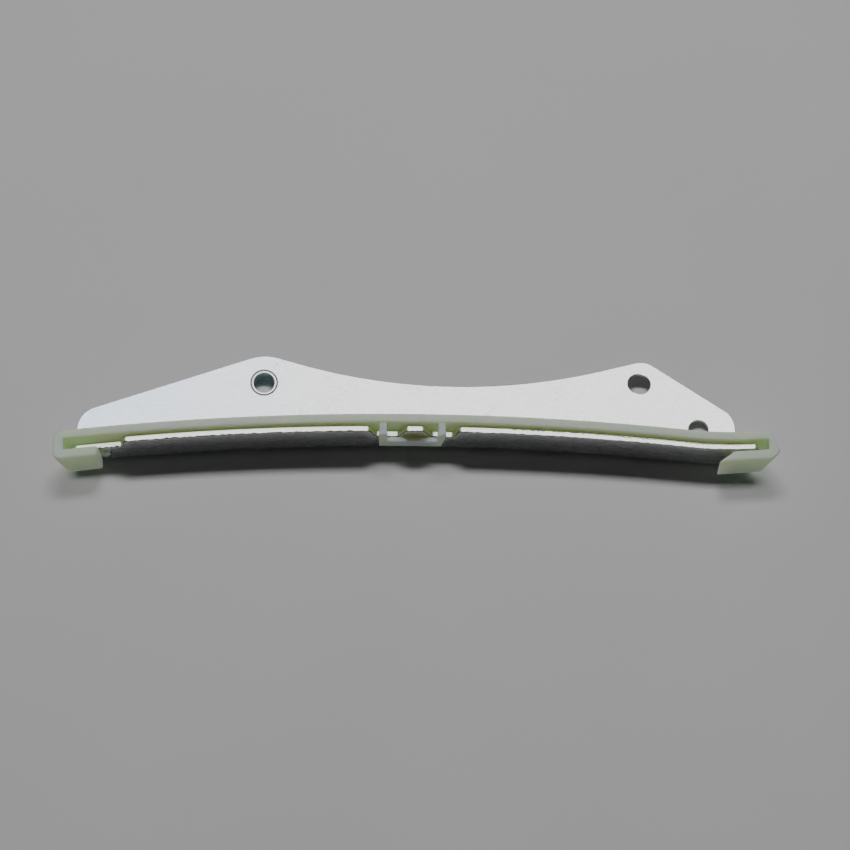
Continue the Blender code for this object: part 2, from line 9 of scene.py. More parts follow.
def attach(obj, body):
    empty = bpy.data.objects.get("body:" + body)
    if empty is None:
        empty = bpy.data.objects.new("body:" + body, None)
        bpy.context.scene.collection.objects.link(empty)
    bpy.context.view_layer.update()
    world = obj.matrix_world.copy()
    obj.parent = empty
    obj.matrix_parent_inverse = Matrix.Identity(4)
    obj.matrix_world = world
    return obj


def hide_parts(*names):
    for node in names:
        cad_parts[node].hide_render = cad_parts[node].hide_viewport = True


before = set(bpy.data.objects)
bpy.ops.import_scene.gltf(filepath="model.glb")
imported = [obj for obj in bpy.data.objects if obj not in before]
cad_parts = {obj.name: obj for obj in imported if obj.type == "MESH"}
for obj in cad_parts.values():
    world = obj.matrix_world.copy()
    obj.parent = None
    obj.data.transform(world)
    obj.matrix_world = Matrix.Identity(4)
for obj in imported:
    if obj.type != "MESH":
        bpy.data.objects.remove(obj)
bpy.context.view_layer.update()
MM = 0.001


# Camera
# It looks along +Y and down on the guide, from well over a metre away, with the guide in the middle.
CAMERA_ELEVATION = math.radians(62.25)
CAMERA_DISTANCE = 1760 * MM
CAMERA_TARGET = Vector((2.73, -8.78, 17.49)) * MM
CAMERA_SENSOR = 36.0
CAMERA_LENS = 237.0

camera = bpy.data.objects.new("camera", bpy.data.cameras.new("camera"))
bpy.context.scene.collection.objects.link(camera)
camera.data.sensor_width = CAMERA_SENSOR
camera.data.lens = CAMERA_LENS
towards_camera = Vector((0.0, -math.cos(CAMERA_ELEVATION), math.sin(CAMERA_ELEVATION)))
camera.location = CAMERA_TARGET + CAMERA_DISTANCE * towards_camera
camera.rotation_mode = "QUATERNION"
camera.rotation_quaternion = (-towards_camera).to_track_quat("-Z", "Y")
bpy.context.scene.camera = camera


# Floor
# A sheet of pale grey card, larger than any view of the guide, with a faint tooth to its surface.
FLOOR_SIDE = 6.0


def new_material(name):
    """Material, its node tree and its shader, named for the finish."""
    material = bpy.data.materials.new(name)
    material.use_nodes = True
    return material, material.node_tree, material.node_tree.nodes["Principled BSDF"]


def set_inputs(tree, node, inputs):
    """Set or link sockets by name; an underscore in a name is a space."""
    for name, value in inputs.items():
        socket = node.inputs[name.replace("_", " ")]
        if isinstance(value, bpy.types.NodeSocket):
            tree.links.new(value, socket)
        else:
            socket.default_value = value
    return node


def add_node(tree, kind, settings=None, **inputs):
    node = tree.nodes.new("ShaderNode" + kind)
    for name, value in (settings or {}).items():
        setattr(node, name, value)
    return set_inputs(tree, node, inputs)


def vector_math(tree, operation, first, second):
    node = add_node(tree, "VectorMath", {"operation": operation})
    tree.links.new(first, node.inputs[0])
    if isinstance(second, bpy.types.NodeSocket):
        tree.links.new(second, node.inputs[1])
    else:
        node.inputs[1].default_value = second
    return node.outputs["Vector"]


def mix_colours(tree, share, first, second):
    """Colour that goes from first to second as share goes from 0 to 1."""
    node = add_node(tree, "Mix", {"data_type": "RGBA"}, Factor=share)
    for index, colour in ((6, first), (7, second)):
        if isinstance(colour, bpy.types.NodeSocket):
            tree.links.new(colour, node.inputs[index])
        else:
            node.inputs[index].default_value = (*colour, 1.0)
    return node.outputs[2]


def remap(tree, value, low, high, to_low=0.0, to_high=1.0):
    """Value taken from one range to another, and held inside it."""
    node = add_node(tree, "MapRange", None, Value=value, From_Min=low, From_Max=high, To_Min=to_low,
                    To_Max=to_high)
    return node.outputs["Result"]


def new_group(name, inputs, outputs):
    """Shader node group with named sockets, and its input and output nodes' sockets."""
    group = bpy.data.node_groups.new(name, "ShaderNodeTree")
    for socket, kind in inputs:
        group.interface.new_socket(socket, in_out="INPUT", socket_type="NodeSocket" + kind)
    for socket, kind in outputs:
        group.interface.new_socket(socket, in_out="OUTPUT", socket_type="NodeSocket" + kind)
    return group, group.nodes.new("NodeGroupInput").outputs, group.nodes.new("NodeGroupOutput").inputs


def use_group(tree, group, **inputs):
    """The group placed in a material, with its own values."""
    node = tree.nodes.new("ShaderNodeGroup")
    node.node_tree = group
    return set_inputs(tree, node, inputs).outputs


# Grain: fine relief, drawn out along the axes that are stretched least, and patches far larger than it
grain, given, result = new_group(
    "grain",
    [("Place", "Vector"), ("Stretch", "Vector"), ("Fineness", "Float"), ("Patch Fineness", "Float")],
    [("Height", "Float"), ("Patch", "Float")])
drawn_out = vector_math(grain, "MULTIPLY", given["Place"], given["Stretch"])
relief = add_node(grain, "TexNoise", Vector=drawn_out, Scale=given["Fineness"], Detail=4.0,
                  Roughness=0.6)
patch = add_node(grain, "TexNoise", Vector=given["Place"], Scale=given["Patch Fineness"], Detail=2.0)
grain.links.new(relief.outputs["Fac"], result["Height"])
grain.links.new(patch.outputs["Fac"], result["Patch"])

card, tree, shader = new_material("pale_card")
places = add_node(tree, "TexCoord").outputs["Object"]
tooth = use_group(tree, grain, Place=places, Stretch=(1.0, 1.0, 1.0), Fineness=900.0,
                  Patch_Fineness=14.0)
card_bump = add_node(tree, "Bump", Height=tooth["Height"], Strength=0.05, Distance=MM)
card_tone = mix_colours(tree, tooth["Patch"], (0.665, 0.665, 0.665), (0.705, 0.705, 0.705))
set_inputs(tree, shader, {"Base Color": card_tone, "Normal": card_bump.outputs["Normal"],
                          "Roughness": 0.75, "Specular IOR Level": 0.0})

bpy.ops.mesh.primitive_plane_add(size=FLOOR_SIDE)
floor = bpy.context.object
floor.name = "floor"
floor.data.materials.append(card)


# Light
# One soft lamp stands over the far side, so that the flange shades the floor before it. The steel
# mirrors a broad panel over the far side and a dim one over the near side, in a surround that is dark
# above. The lamps named through stand for the light that passes the nylon: the shoe doesn't block them.
KEY_FROM_ZENITH = math.radians(16.0)
KEY_DISTANCE = 1.5
KEY_LENGTH = 0.55
KEY_WIDTH = 0.25
KEY_POWER = 13.0
THROUGH_NYLON = 0.6
PANEL_LENGTH = 2.4
PANEL_WIDTH = 1.2
PANEL_PLACE = (0.0, 0.52, 1.6)
PANEL_POWER = 9.5
NEAR_PANEL_PLACE = (0.0, -0.75, 1.5)
NEAR_PANEL_POWER = 3.0
THROUGH_PANEL_LENGTH = 1.1
THROUGH_PANEL_WIDTH = 1.0
THROUGH_PANEL_PLACE = (0.0, 0.4, 1.6)
THROUGH_PANEL_POWER = 4.4
SURROUND_ABOVE = 0.002
SURROUND_LOW = 0.06
SURROUND_DARK_FROM = 0.45


def add_lamp(name, length, width, power, place):
    """Rectangular lamp, longest along X, that faces the middle of the guide."""
    lamp = bpy.data.objects.new(name, bpy.data.lights.new(name, "AREA"))
    bpy.context.scene.collection.objects.link(lamp)
    lamp.data.shape = "RECTANGLE"
    lamp.data.size = length
    lamp.data.size_y = width
    lamp.data.energy = power
    lamp.location = place
    lamp.rotation_mode = "QUATERNION"
    lamp.rotation_quaternion = (-Vector(place)).to_track_quat("-Z", "Y")
    return lamp


key_place = KEY_DISTANCE * Vector((0.0, math.sin(KEY_FROM_ZENITH), math.cos(KEY_FROM_ZENITH)))
key = add_lamp("key", KEY_LENGTH, KEY_WIDTH, KEY_POWER * (1 - THROUGH_NYLON), key_place)
key.visible_glossy = False
key_through = add_lamp("key_through", KEY_LENGTH, KEY_WIDTH, KEY_POWER * THROUGH_NYLON, key_place)
key_through.visible_glossy = False
panel = add_lamp("panel", PANEL_LENGTH, PANEL_WIDTH, PANEL_POWER, PANEL_PLACE)
panel.visible_diffuse = False
near_panel = add_lamp("near_panel", PANEL_LENGTH, PANEL_WIDTH, NEAR_PANEL_POWER, NEAR_PANEL_PLACE)
near_panel.visible_diffuse = False
panel_through = add_lamp("panel_through", THROUGH_PANEL_LENGTH, THROUGH_PANEL_WIDTH, THROUGH_PANEL_POWER,
                         THROUGH_PANEL_PLACE)
panel_through.visible_diffuse = False

world = bpy.data.worlds.new("surround")
world.use_nodes = True
background = world.node_tree.nodes["Background"]
background.inputs["Color"].default_value = (1.0, 1.0, 1.0, 1.0)
towards_sky = add_node(world.node_tree, "TexCoord").outputs["Generated"]
rise = add_node(world.node_tree, "SeparateXYZ", Vector=towards_sky).outputs["Z"]
dimmed = remap(world.node_tree, rise, 0.0, SURROUND_DARK_FROM, SURROUND_LOW, SURROUND_ABOVE)
world.node_tree.links.new(dimmed, background.inputs["Strength"])
bpy.context.scene.world = world


# Steel bracket
# Two millimetre sheet, blanked, pierced and folded to an angle along the bow, then zinc plated. Blanking
# leaves the cut edges bright where they were sheared and dark where they tore, and the dark on them is
# partly painted shade by the near face and the nylon. Sizes are in millimetres.
SHEET = 2.0
FOLD_RADIUS = 3.5
FOLD_STEPS = 14
FLANGE_TOP = 17.0
TAB_TOP = 12.8
NOTCH_FLOOR = 11.9
BOW_RADIUS = 890.0
BOW_CROWN_X = -14.8
CURL_START_X = 83.0
CURL_RADIUS = 120.0
STEEL_LEFT_X = -110.7
STEEL_RIGHT_X = 105.3
STEEL_FOOT_X = 99.5
PEG_X = STEEL_LEFT_X + 9.8
PEG_Z = 8.9
PEG_DIAMETER = 3.6
CLEARANCE = 0.3
COLLAR_CENTRE = Vector((-51.2, 21.7))
COLLAR_DIAMETER = 8.1
SLOT_CENTRE = Vector((68.1, 21.15))
SLOT_WIDTH = 6.1
SLOT_LENGTH = 7.1
SLOT_SLANT = math.radians(-20.0)
BOLT_HOLE_CENTRE = Vector((86.7, 5.8))
BOLT_HOLE_DIAMETER = 6.1
HOLE_FACETS = 72
WEB_REACH = 45.0
BLANK_NEAR_Y = -40.0
BLANK_FAR_Y = 50.0
EDGE_ROUNDING = 0.3
CUT_FACE_BELOW = 0.9
ROUNDED_FROM = math.radians(35.0)
OVERRUN = 4.0
ARC_STEP = math.radians(6.0)
LONGEST_STEP = 2.0
SHARP_FROM = math.radians(32.0)
RESTING_TURN = Euler([math.radians(angle) for angle in (8.5039, -0.0356, -0.0026)])
RESTING_PLACE = Vector((2.7437, -8.399, 0.3634)) * MM

# Outlines as (x, y, corner radius), or (x, z, corner radius) for the flange. The web's runs on past the
# fold, where the flange's outline bounds the steel.
WEB_PLAN = [
    (-118.7, -30.0, 0.0), (-118.7, -2.06, 0.0), (-111.3, -2.06, 0.0), (-110.1, 11.8, 8.0),
    (-51.2, 31.48, 15.0), (7.9, 13.7, 184.0), (69.95, 29.1, 7.0), (97.85, 10.4, 7.0),
    (100.1, -4.0, 0.0), (107.0, -4.0, 0.0), (107.0, -30.0, 0.0),
]
FLANGE_PLAN = [
    (STEEL_LEFT_X, -OVERRUN, 0.0), (STEEL_LEFT_X, TAB_TOP, 1.0), (-95.0, TAB_TOP, 1.0),
    (-95.0, FLANGE_TOP, 1.0), (-17.3, FLANGE_TOP, 1.2), (-15.7, NOTCH_FLOOR, 1.2),
    (-8.2, NOTCH_FLOOR, 1.2), (-5.975, FLANGE_TOP, 1.2), (-0.225, FLANGE_TOP, 1.2),
    (2.0, NOTCH_FLOOR, 1.2), (9.1, NOTCH_FLOOR, 1.2), (10.7, FLANGE_TOP, 1.2),
    (STEEL_RIGHT_X, FLANGE_TOP, 1.2), (STEEL_FOOT_X, FOLD_RADIUS, 0.0), (STEEL_FOOT_X, -OVERRUN, 0.0),
]


def bow_angle(x):
    """Angle of the flange's outward normal from +Y, where its near face passes x."""
    at_curl = math.asin((CURL_START_X - BOW_CROWN_X) / BOW_RADIUS)
    if x <= CURL_START_X:
        return math.asin((x - BOW_CROWN_X) / BOW_RADIUS)
    curl_centre_x = BOW_CROWN_X + (BOW_RADIUS + CURL_RADIUS) * math.sin(at_curl)
    return math.asin((curl_centre_x - x) / CURL_RADIUS)


def bow_normal(x):
    return Vector((math.sin(bow_angle(x)), math.cos(bow_angle(x)), 0.0))


bow_centre = Vector((BOW_CROWN_X, -BOW_RADIUS, 0.0))
curl_centre = bow_centre + (BOW_RADIUS + CURL_RADIUS) * bow_normal(CURL_START_X)


def bow_point(x, across):
    """Plan point at station x of the near face, moved square to the flange towards the web."""
    if x <= CURL_START_X:
        point = bow_centre + (BOW_RADIUS + across) * bow_normal(x)
    else:
        point = curl_centre - (CURL_RADIUS - across) * bow_normal(x)
    return point.x, point.y


def new_solid(name, bm):
    """Object from a bmesh, with its faces outwards and its flats joined."""
    bmesh.ops.recalc_face_normals(bm, faces=bm.faces)
    bmesh.ops.dissolve_limit(bm, angle_limit=math.radians(0.02), verts=bm.verts, edges=bm.edges)
    mesh = bpy.data.meshes.new(name)
    bm.to_mesh(mesh)
    bm.free()
    solid = bpy.data.objects.new(name, mesh)
    bpy.context.scene.collection.objects.link(solid)
    return solid


def sweep(name, section, left_x, right_x, lean=0.0, lean_top=0.0):
    """Closed (across, height) section swept along the bow, with ends that lean in below lean_top."""
    from_x = left_x - OVERRUN
    to_x = max(right_x, CURL_START_X) + OVERRUN
    bm = bmesh.new()
    corners = [bm.verts.new((*bow_point(from_x, across), height)) for across, height in section]
    start = bm.faces.new(corners)
    bow_turn = bow_angle(from_x) - bow_angle(CURL_START_X)
    swept = bmesh.ops.spin(bm, geom=[start], cent=bow_centre, axis=(0.0, 0.0, 1.0), angle=bow_turn,
                           steps=round(BOW_RADIUS * abs(bow_turn) / LONGEST_STEP))
    joint = [item for item in swept["geom_last"] if isinstance(item, bmesh.types.BMFace)]
    curl_turn = bow_angle(CURL_START_X) - bow_angle(to_x)
    bmesh.ops.spin(bm, geom=joint, cent=curl_centre, axis=(0.0, 0.0, 1.0), angle=curl_turn,
                   steps=math.ceil(CURL_RADIUS * abs(curl_turn) / LONGEST_STEP))
    bmesh.ops.delete(bm, geom=joint, context="FACES_ONLY")
    for side, x in ((-1.0, left_x), (1.0, right_x)):
        cut = bmesh.ops.bisect_plane(bm, geom=bm.verts[:] + bm.edges[:] + bm.faces[:], clear_outer=True,
                                     plane_co=(x, 0.0, lean_top), plane_no=(side, 0.0, -lean))
        rim = [item for item in cut["geom_cut"] if isinstance(item, bmesh.types.BMEdge)]
        bmesh.ops.edgeloop_fill(bm, edges=rim)
    return new_solid(name, bm)


def rounded(corners):
    """Points round a closed outline whose (x, y, radius) corners are filleted by arcs."""
    points = []
    for index, (x, y, radius) in enumerate(corners):
        here = Vector((x, y))
        before = (Vector(corners[index - 1][:2]) - here).normalized()
        after = (Vector(corners[(index + 1) % len(corners)][:2]) - here).normalized()
        half_corner = before.angle(after) / 2
        if radius == 0.0:
            points.append(here)
            continue
        centre = here + (before + after).normalized() * radius / math.sin(half_corner)
        first = here + before * radius / math.tan(half_corner) - centre
        turn = first.angle_signed(here + after * radius / math.tan(half_corner) - centre)
        steps = max(4, math.ceil(abs(turn) / ARC_STEP), math.ceil(radius * abs(turn) / LONGEST_STEP))
        for step in range(steps + 1):
            points.append(centre + Matrix.Rotation(-turn * step / steps, 2) @ first)
    return points


def plate(name, points, low, high, along="Z"):
    """Solid between two heights over a flat outline. Along Y, the outline's points are (x, z)."""
    bm = bmesh.new()
    if along == "Z":
        base = bm.faces.new([bm.verts.new((x, y, low)) for x, y in points])
        rise = (0.0, 0.0, high - low)
    else:
        base = bm.faces.new([bm.verts.new((x, low, z)) for x, z in points])
        rise = (0.0, high - low, 0.0)
    grown = bmesh.ops.extrude_face_region(bm, geom=[base])["geom"]
    grown_corners = [item for item in grown if isinstance(item, bmesh.types.BMVert)]
    bmesh.ops.translate(bm, vec=rise, verts=grown_corners)
    return new_solid(name, bm)


def pin(name, diameter, length, centre, axis=(0.0, 0.0, 1.0)):
    """Round bar with its middle at centre."""
    bm = bmesh.new()
    bmesh.ops.create_cone(bm, cap_ends=True, segments=HOLE_FACETS, radius1=diameter / 2,
                          radius2=diameter / 2, depth=length)
    turned = Vector(axis).to_track_quat("Z", "Y").to_matrix().to_4x4()
    bmesh.ops.transform(bm, matrix=Matrix.Translation(centre) @ turned, verts=bm.verts)
    return new_solid(name, bm)


def add_step(solid, kind, **settings):
    """Modifier on the solid, with its settings."""
    step = solid.modifiers.new(kind.lower(), kind)
    for name, value in settings.items():
        setattr(step, name, value)


def bake(solid):
    """Make what the modifiers give the solid's own mesh."""
    made = bpy.data.meshes.new_from_object(solid.evaluated_get(bpy.context.evaluated_depsgraph_get()))
    solid.modifiers.clear()
    solid.data = made


def combine(solid, tool, operation):
    """Join or cut the solid with a tool, which is then gone."""
    add_step(solid, "BOOLEAN", operation=operation, solver="EXACT", object=tool)
    bake(solid)
    bpy.data.objects.remove(tool, do_unlink=True)


def round_edges(solid, width):
    """Small rounding on every sharp edge."""
    add_step(solid, "BEVEL", width=width, segments=3, limit_method="ANGLE",
             angle_limit=ROUNDED_FROM, use_clamp_overlap=False, loop_slide=False)
    bake(solid)


def clean(solid):
    """Close the slivers that cuts leave, and join the faces that lie in one plane."""
    add_step(solid, "WELD", merge_threshold=0.05)
    add_step(solid, "DECIMATE", decimate_type="DISSOLVE", angle_limit=math.radians(0.02))
    bake(solid)


def seat(piece, node, centre=(0.0, 0.0, 0.0)):
    """Turn the piece to metres, lay it where its node lies, and let it stand for that node."""
    in_metres = Matrix.Scale(MM, 4) @ Matrix.Translation(centre)
    resting = Matrix.Translation(RESTING_PLACE) @ RESTING_TURN.to_matrix().to_4x4()
    piece.data.transform(resting @ in_metres)
    piece.data.shade_smooth()
    piece.data.set_sharp_from_angle(angle=SHARP_FROM)
    add_step(piece, "WEIGHTED_NORMAL", keep_sharp=True, weight=80)
    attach(piece, "root")
    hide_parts(node)


fold_centre = Vector((FOLD_RADIUS, FOLD_RADIUS))
outside = []
inside = []
for step in range(FOLD_STEPS + 1):
    swing = math.pi / 2 * step / FOLD_STEPS
    towards_flange = Vector((-math.sin(swing), -math.cos(swing)))
    outside.append(fold_centre + FOLD_RADIUS * towards_flange)
    inside.append(fold_centre + (FOLD_RADIUS - SHEET) * towards_flange)
angle_section = [(WEB_REACH, 0.0)] + outside + [(0.0, FLANGE_TOP), (SHEET, FLANGE_TOP)] + inside[::-1]
bracket = sweep("bracket", angle_section + [(WEB_REACH, SHEET)], STEEL_LEFT_X - OVERRUN / 2,
                STEEL_RIGHT_X + OVERRUN / 2)
combine(bracket, plate("flange_blank", rounded(FLANGE_PLAN), BLANK_NEAR_Y, BLANK_FAR_Y, along="Y"),
        "INTERSECT")
combine(bracket, plate("web_blank", rounded(WEB_PLAN), -OVERRUN, FLANGE_TOP + OVERRUN), "INTERSECT")
for hole, centre, diameter in (("collar_hole", COLLAR_CENTRE, COLLAR_DIAMETER + CLEARANCE),
                               ("bolt_hole", BOLT_HOLE_CENTRE, BOLT_HOLE_DIAMETER)):
    combine(bracket, pin(hole, diameter, 5 * OVERRUN, (*centre, 0.0)), "DIFFERENCE")
slot_outline = []
for index in range(HOLE_FACETS):
    swing = 2 * math.pi * (index + 0.5) / HOLE_FACETS
    end = SLOT_WIDTH / 2 * Vector((math.cos(swing), math.sin(swing)))
    end.x += math.copysign((SLOT_LENGTH - SLOT_WIDTH) / 2, end.x)
    slot_outline.append(SLOT_CENTRE + Matrix.Rotation(SLOT_SLANT, 2) @ end)
combine(bracket, plate("slot", slot_outline, -OVERRUN, SHEET + OVERRUN), "DIFFERENCE")
peg_root = Vector((*bow_point(PEG_X, SHEET / 2), PEG_Z))
combine(bracket, pin("peg_hole", PEG_DIAMETER + 2 * CLEARANCE, 5 * OVERRUN, peg_root, bow_normal(PEG_X)),
        "DIFFERENCE")
clean(bracket)
round_edges(bracket, EDGE_ROUNDING)


def place_in_sheet(point):
    """Depth below the outside of the fold, and the sheet's normal, at a point of the bracket."""
    centre, side = (bow_centre, 1.0) if point.x <= CURL_START_X else (curl_centre, -1.0)
    out = Vector((point.x - centre.x, point.y - centre.y, 0.0))
    across = out.length - BOW_RADIUS if side > 0 else CURL_RADIUS - out.length
    normal = side * out.normalized()
    if across >= FOLD_RADIUS:
        return point.z, Vector((0.0, 0.0, 1.0))
    if point.z >= FOLD_RADIUS:
        return across, normal
    reach = Vector((FOLD_RADIUS - across, FOLD_RADIUS - point.z))
    return FOLD_RADIUS - reach.length, (normal * reach.x + Vector((0.0, 0.0, reach.y))).normalized()


# Scuffs: fine scratches in two directions, thickest in patches
scuffs, given, result = new_group(
    "scuffs", [("Place", "Vector"), ("Fineness", "Float"), ("Rarity", "Float")], [("Mask", "Float")])
scratch_sets = []
for turn in (0.45, -1.1):
    turned_place = add_node(scuffs, "Mapping", {"vector_type": "TEXTURE"}, Vector=given["Place"],
                            Rotation=(0.0, 0.0, turn), Scale=(1.0, 0.14, 0.14)).outputs["Vector"]
    lines = add_node(scuffs, "TexNoise", Vector=turned_place, Scale=given["Fineness"], Detail=1.0)
    above = add_node(scuffs, "Math", {"operation": "SUBTRACT"})
    scuffs.links.new(lines.outputs["Fac"], above.inputs[0])
    scuffs.links.new(given["Rarity"], above.inputs[1])
    scratch_sets.append(remap(scuffs, above.outputs["Value"], 0.0, 0.1))
both = add_node(scuffs, "Math", {"operation": "MAXIMUM"})
scuffs.links.new(scratch_sets[0], both.inputs[0])
scuffs.links.new(scratch_sets[1], both.inputs[1])
worn = add_node(scuffs, "TexNoise", Vector=given["Place"], Scale=70.0, Detail=2.0)
in_patches = add_node(scuffs, "Math", {"operation": "MULTIPLY"})
scuffs.links.new(both.outputs["Value"], in_patches.inputs[0])
scuffs.links.new(remap(scuffs, worn.outputs["Fac"], 0.5, 0.7), in_patches.inputs[1])
scuffs.links.new(in_patches.outputs["Value"], result["Mask"])

zinc, tree, shader = new_material("zinc_plated_steel")
places = add_node(tree, "TexCoord").outputs["Object"]
rolled = use_group(tree, grain, Place=places, Stretch=(0.15, 1.0, 1.0), Fineness=2600.0,
                   Patch_Fineness=60.0)
marks = use_group(tree, scuffs, Place=places, Fineness=260.0, Rarity=0.58)["Mask"]
axes = add_node(tree, "SeparateXYZ", Vector=places).outputs
# Painted reflection: the web's left end is tinted blue, in patches, for bluish light that the bright web
# mirrors there; the flange is left out of it.
on_web = remap(tree, axes["Y"], -0.012, 0.004)
blue_reflection_end = add_node(tree, "Math", {"operation": "MULTIPLY"})
tree.links.new(remap(tree, axes["X"], -0.115, -0.03, 1.0, 0.0), blue_reflection_end.inputs[0])
tree.links.new(on_web, blue_reflection_end.inputs[1])
painted_blue_reflection = add_node(tree, "Math", {"operation": "MULTIPLY"})
tree.links.new(blue_reflection_end.outputs["Value"], painted_blue_reflection.inputs[0])
tree.links.new(remap(tree, rolled["Patch"], 0.2, 0.8, 0.5, 1.0), painted_blue_reflection.inputs[1])
plated = mix_colours(tree, rolled["Patch"], (0.80, 0.805, 0.815), (0.86, 0.86, 0.855))
plated = mix_colours(tree, painted_blue_reflection.outputs["Value"], plated, (0.6, 0.75, 0.96))
plated = mix_colours(tree, marks, plated, (0.64, 0.68, 0.76))
satin = remap(tree, rolled["Height"], 0.3, 0.7, 0.24, 0.3)
zinc_bump = add_node(tree, "Bump", Height=rolled["Height"], Strength=0.06, Distance=0.02 * MM)
set_inputs(tree, shader, {"Base Color": plated, "Metallic": 1.0, "Roughness": satin,
                          "Normal": zinc_bump.outputs["Normal"]})

# Cut edge: sheared bright through the middle of the sheet, torn and dark in ragged bites at its faces;
# the dark is partly painted shade, along the near face and in a thin line by the gap to the nylon
sheared, tree, shader = new_material("sheared_edge")
places = add_node(tree, "TexCoord").outputs["Object"]
depth = add_node(tree, "Attribute", {"attribute_name": "depth"}).outputs["Fac"]
striped = use_group(tree, grain, Place=places, Stretch=(1.0, 0.05, 0.05), Fineness=3200.0,
                    Patch_Fineness=800.0)
along = add_node(tree, "SeparateXYZ", Vector=places).outputs["X"]
near_reach = remap(tree, along, -0.02, 0.06, 0.3, 0.2)
far_reach = remap(tree, along, -0.01, 0.06, 0.0, 0.34)
bites = remap(tree, striped["Patch"], 0.4, 0.68, 0.45, 1.0)
past = []
for reach, from_face in ((near_reach, depth), (far_reach, remap(tree, depth, 0.0, 1.0, 1.0, 0.0))):
    bitten = add_node(tree, "Math", {"operation": "MULTIPLY"})
    tree.links.new(reach, bitten.inputs[0])
    tree.links.new(bites, bitten.inputs[1])
    within = add_node(tree, "Math", {"operation": "SUBTRACT"})
    tree.links.new(bitten.outputs["Value"], within.inputs[0])
    tree.links.new(from_face, within.inputs[1])
    past.append(within.outputs["Value"])
# Painted shade: a thin dark line near the far face, where the edge meets the gap to the nylon.
far_shade_line = add_node(tree, "Math", {"operation": "COMPARE"})
tree.links.new(past[1], far_shade_line.inputs[0])
far_shade_line.inputs[1].default_value = 0.05
far_shade_line.inputs[2].default_value = 0.05
torn_and_shade_anywhere = add_node(tree, "Math", {"operation": "MAXIMUM"})
tree.links.new(remap(tree, past[0], -0.02, 0.04), torn_and_shade_anywhere.inputs[0])
tree.links.new(far_shade_line.outputs["Value"], torn_and_shade_anywhere.inputs[1])
torn_and_shade_share = torn_and_shade_anywhere.outputs["Value"]
edge_tone = mix_colours(tree, striped["Height"], (0.80, 0.81, 0.79), (0.88, 0.89, 0.86))
# The dark mix is torn steel in part and painted shade in part.
edge_tone = mix_colours(tree, torn_and_shade_share, edge_tone, (0.16, 0.17, 0.15))
edge_bump = add_node(tree, "Bump", Height=striped["Height"], Strength=0.25, Distance=0.03 * MM)
set_inputs(tree, shader, {"Base Color": edge_tone, "Metallic": 1.0,
                          "Normal": edge_bump.outputs["Normal"],
                          "Roughness": remap(tree, torn_and_shade_share, 0.0, 1.0, 0.3, 0.65)})

bracket.data.materials.append(zinc)
bracket.data.materials.append(sheared)
depths = bracket.data.attributes.new("depth", "FLOAT", "POINT")
shares = [place_in_sheet(vert.co)[0] / SHEET for vert in bracket.data.vertices]
depths.data.foreach_set("value", shares)
for face in bracket.data.polygons:
    if abs(face.normal.dot(place_in_sheet(face.center)[1])) < CUT_FACE_BELOW:
        face.material_index = 1
seat(bracket, "steel_bracket")


# Nylon shoe
# One moulding in natural nylon: the strip that the chain runs on, a frame and hook at each end of the
# steel, a clip loop in the flange's notch and a peg through it. Much of the lamp's light passes it.
SHOE_BACK = SHEET + CLEARANCE
SHOE_FACE = SHOE_BACK + 2.85
SHOE_TOP = FLANGE_TOP + 2.49
SET_BACK = 0.2
STRIP_ROUNDING = 0.4
HOOK_ROUNDING = 0.9
LIP_RADIUS = 0.6
FRAME_FACE = SHOE_FACE - SET_BACK
FRAME_TOP = SHOE_TOP - SET_BACK
SHOE_LEFT_X = STEEL_LEFT_X - 6.39
SHOE_RIGHT_X = STEEL_RIGHT_X + 6.47
LEFT_HOOK_LENGTH = 14.0
RIGHT_HOOK_LENGTH = 14.8
RIGHT_HOOK_SLANT = 4.8
RIGHT_HOOK_CHAMFER = 2.5
RIGHT_FRAME_TAPER = 2.6
FRAME_CORNER = 3.2
HOOK_CORNER = 2.2
HOOK_DEPTH = 13.2
HOOK_GAP = 1.2
LEFT_HOOK_NEAR = -(HOOK_GAP + 3.1)
RIGHT_HOOK_NEAR = -(HOOK_GAP + 3.7)
OUTER_LEAN = 3.8
INNER_LEAN = 1.3
LEFT_END_WALL = 3.5
RIGHT_END_WALL = 3.7
CLIP_X = -3.9
CLIP_HALF = 10.6
CLIP_ARM = 2.7
CLIP_NEAR = -1.8
CLIP_BAR_TOP = 12.9
CLIP_BAR_BOTTOM = 8.1
CLIP_CORNER_CUT = 1.6
CLIP_CORNER_TOP = 16.8
PEG_PAST = 1.0
PEG_PLAY = 0.2
PEG_ROUNDING = 0.9
EJECTOR_MARKS_X = (-106.3, -39.5, -4.6, 32.0, 100.0)
EJECTOR_MARK = 2.1
EJECTOR_MARK_DEPTH = 0.25


def leaning_block(name, outline, low, high, outer_x, inner_x):
    """Block whose foot is drawn in along X, most at its outer end."""
    block = plate(name, rounded(outline), low, high)
    inward = math.copysign(1.0, inner_x - outer_x)
    for corner in block.data.vertices:
        share = (inner_x - corner.co.x) / (inner_x - outer_x)
        drawn_in = INNER_LEAN + (OUTER_LEAN - INNER_LEAN) * share
        corner.co.x += inward * drawn_in * (high - corner.co.z) / (high - low)
    round_edges(block, HOOK_ROUNDING)
    return block


